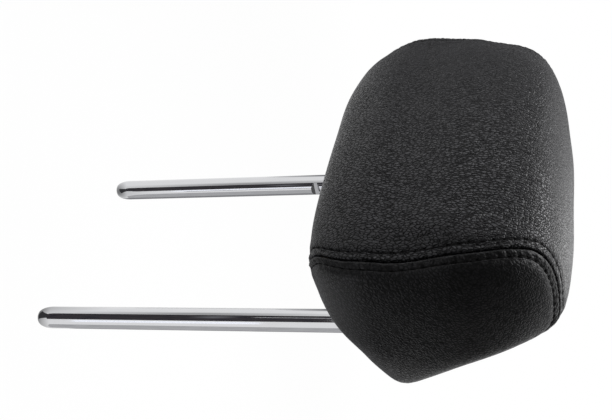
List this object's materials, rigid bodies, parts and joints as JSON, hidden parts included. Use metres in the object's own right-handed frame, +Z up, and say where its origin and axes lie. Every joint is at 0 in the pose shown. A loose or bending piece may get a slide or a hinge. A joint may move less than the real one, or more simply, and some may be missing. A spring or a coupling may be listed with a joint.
{
  "type": "car headrest",
  "caption": "Car seat headrest: a crowned foam pad in a sewn leather cover with side panels, on a bent steel armature whose chromed posts slide into the seat back.",
  "frame": {"origin": "midway between the two posts, level with the flat noses at their lower ends", "axes": "+Z up along the posts towards the pad; -Y forward, the way the padded face looks; +X along the pad's width"},
  "size_m": [0.2466, 0.1184, 0.3338],
  "materials": {
    "post_chrome": "polished",
    "carrier_plastic": "moulded",
    "screw_zinc": "zinc plated",
    "pad_foam": "open-cell foam",
    "cover_leather": "fine pebbled grain, soft sheen",
    "trim_plastic": "fine texture"
  },
  "bodies": {
    "root": {"armature": "post_chrome", "carrier_front": "carrier_plastic", "carrier_rear": "carrier_plastic", "carrier_screw_1": "screw_zinc", "carrier_screw_2": "screw_zinc", "carrier_screw_3": "screw_zinc", "carrier_screw_4": "screw_zinc", "foam_pad": "pad_foam", "centre_panel": "cover_leather", "side_panel_left": "cover_leather", "side_panel_right": "cover_leather", "post_bezel_left": "trim_plastic", "post_bezel_right": "trim_plastic", "closure_strip_front": "trim_plastic", "closure_strip_rear": "trim_plastic"}
  },
  "joints": []
}
